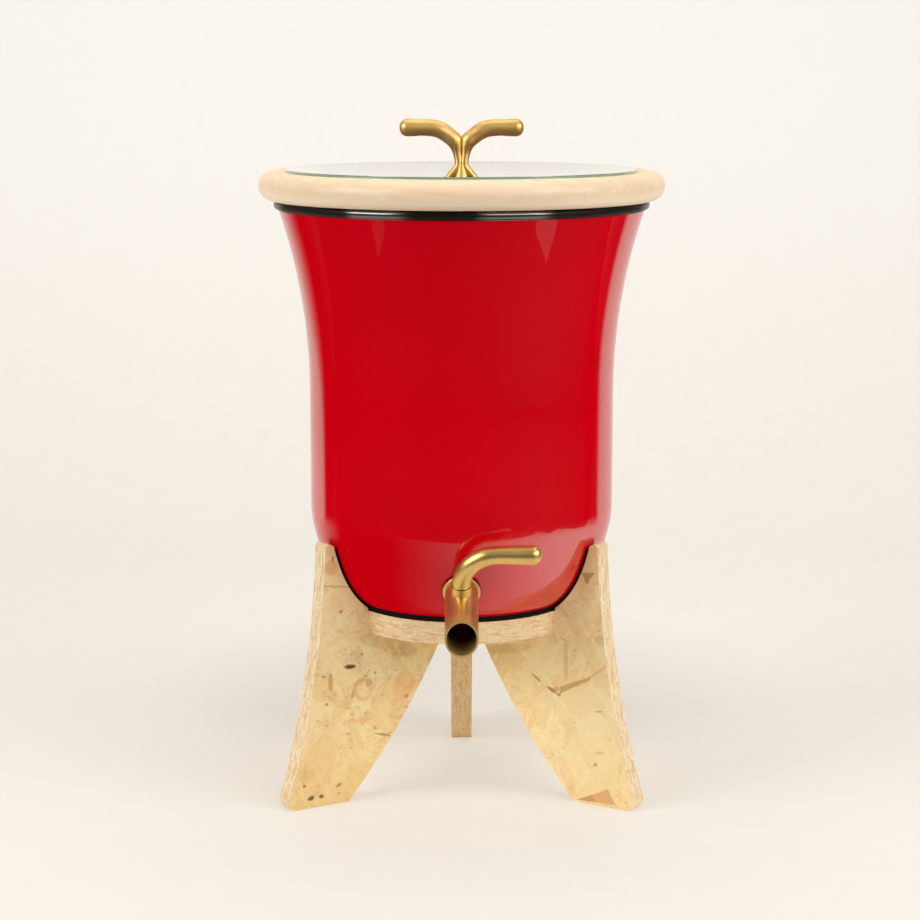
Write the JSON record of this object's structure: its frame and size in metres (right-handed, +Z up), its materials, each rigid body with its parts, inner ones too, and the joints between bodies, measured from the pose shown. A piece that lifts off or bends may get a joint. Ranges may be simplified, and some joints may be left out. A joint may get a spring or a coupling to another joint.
{
  "type": "water pot with tap",
  "caption": "Round glazed clay water pot with a lever tap, seated in a splayed board stand, under a wood-rimmed glass lid with a forked brass handle.",
  "frame": {"origin": "on the pot axis at floor level, the bottom centre of the whole", "axes": "+Z up along the pot axis; -Y toward the tap and front; +X to the right seen from the front, where the closed lever points"},
  "size_m": [0.3282, 0.332, 0.5525],
  "materials": {
    "strand_board": "satin",
    "ring_wood": "satin",
    "steel": "satin",
    "felt_rubber": "matte",
    "seal_rubber": "matte",
    "red_glaze": "glossy",
    "black_trim": "glossy",
    "tap_brass": "satin",
    "tube_brass": "satin",
    "bush_plastic": "matte",
    "glass": "polished",
    "bedding": "matte"
  },
  "bodies": {
    "stand": {"leg_left": "strand_board", "leg_right": "strand_board", "leg_back": "strand_board", "shelf_disc": "strand_board", "shelf_screws": "steel", "leg_pads": "felt_rubber", "base_pad": "felt_rubber"},
    "crock": {"pot_body": "red_glaze", "rim_trim": "black_trim", "tap_body": "tap_brass", "spout_tube": "tube_brass", "tap_seal_outer": "seal_rubber", "tap_seal_inner": "seal_rubber", "tap_washer": "tap_brass", "tap_lock_nut": "tap_brass", "plug_sleeve": "bush_plastic", "stem_collar": "tap_brass"},
    "tap_lever": {"valve_plug": "tap_brass", "stem_o_rings": "seal_rubber", "lever_handle": "tap_brass", "lever_grub_screw": "steel", "stop_pin": "steel"},
    "lid": {"lid_ring": "ring_wood", "lid_glass": "glass", "glass_bedding": "bedding", "lid_handle": "tap_brass", "handle_gasket_upper": "seal_rubber", "handle_gasket_lower": "seal_rubber", "handle_bush": "bush_plastic", "handle_washer": "steel", "handle_screw": "steel"}
  },
  "joints": [
    {"name": "crock_lift", "type": "slide", "parent": "stand", "child": "crock", "axis": [0, 0, 1], "range_m": [0, 0.12]},
    {"name": "lid_lift", "type": "slide", "parent": "crock", "child": "lid", "axis": [0, 0, 1], "range_m": [0, 0.12]},
    {"name": "tap_turn", "type": "hinge", "parent": "crock", "child": "tap_lever", "pos_m": [0, -0.12723, 0.18172], "axis": [0, 0.421, -0.907], "range_deg": [0, 90]}
  ]
}
